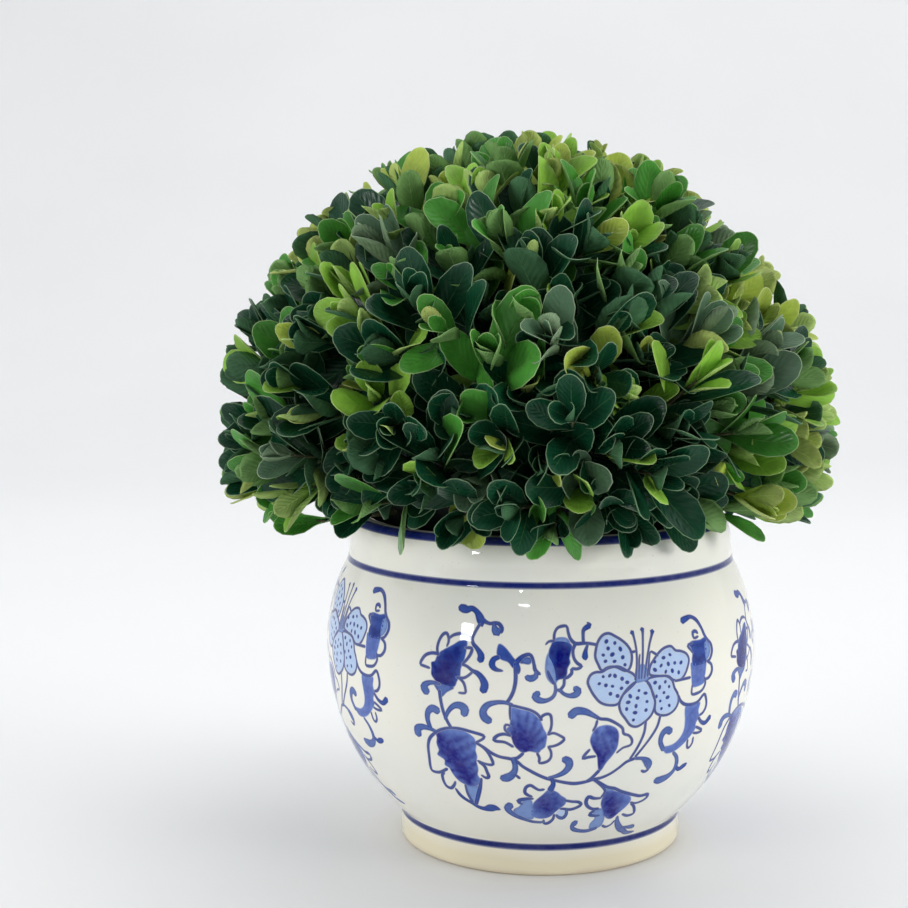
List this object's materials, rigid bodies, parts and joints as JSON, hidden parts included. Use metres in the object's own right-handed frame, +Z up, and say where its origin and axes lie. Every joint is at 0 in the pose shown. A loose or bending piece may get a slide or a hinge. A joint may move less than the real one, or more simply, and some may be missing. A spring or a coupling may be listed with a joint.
{
  "type": "box topiary ball",
  "caption": "Clipped ball of dark green box leaves in a round-bellied, glazed white pot with a blue painted floral scroll and a flat foot.",
  "frame": {"origin": "centre of the pot's flat underside, on the surface it stands on", "axes": "+Z up through the pot's axis and the ball, +X to the right and -Y towards the viewer who sees the front of the painting"},
  "size_m": [0.1972, 0.1945, 0.2287],
  "materials": {
    "pot_glaze": "clear gloss glaze over blue painting on a warm white body",
    "filling": "matte, fine grained",
    "bark": "rough bark",
    "leaves": "half-gloss leaves with paler, matte undersides"
  },
  "bodies": {
    "root": {"pot": "pot_glaze", "pot_filling": "filling", "stem": "bark", "crown": "leaves"}
  },
  "joints": []
}
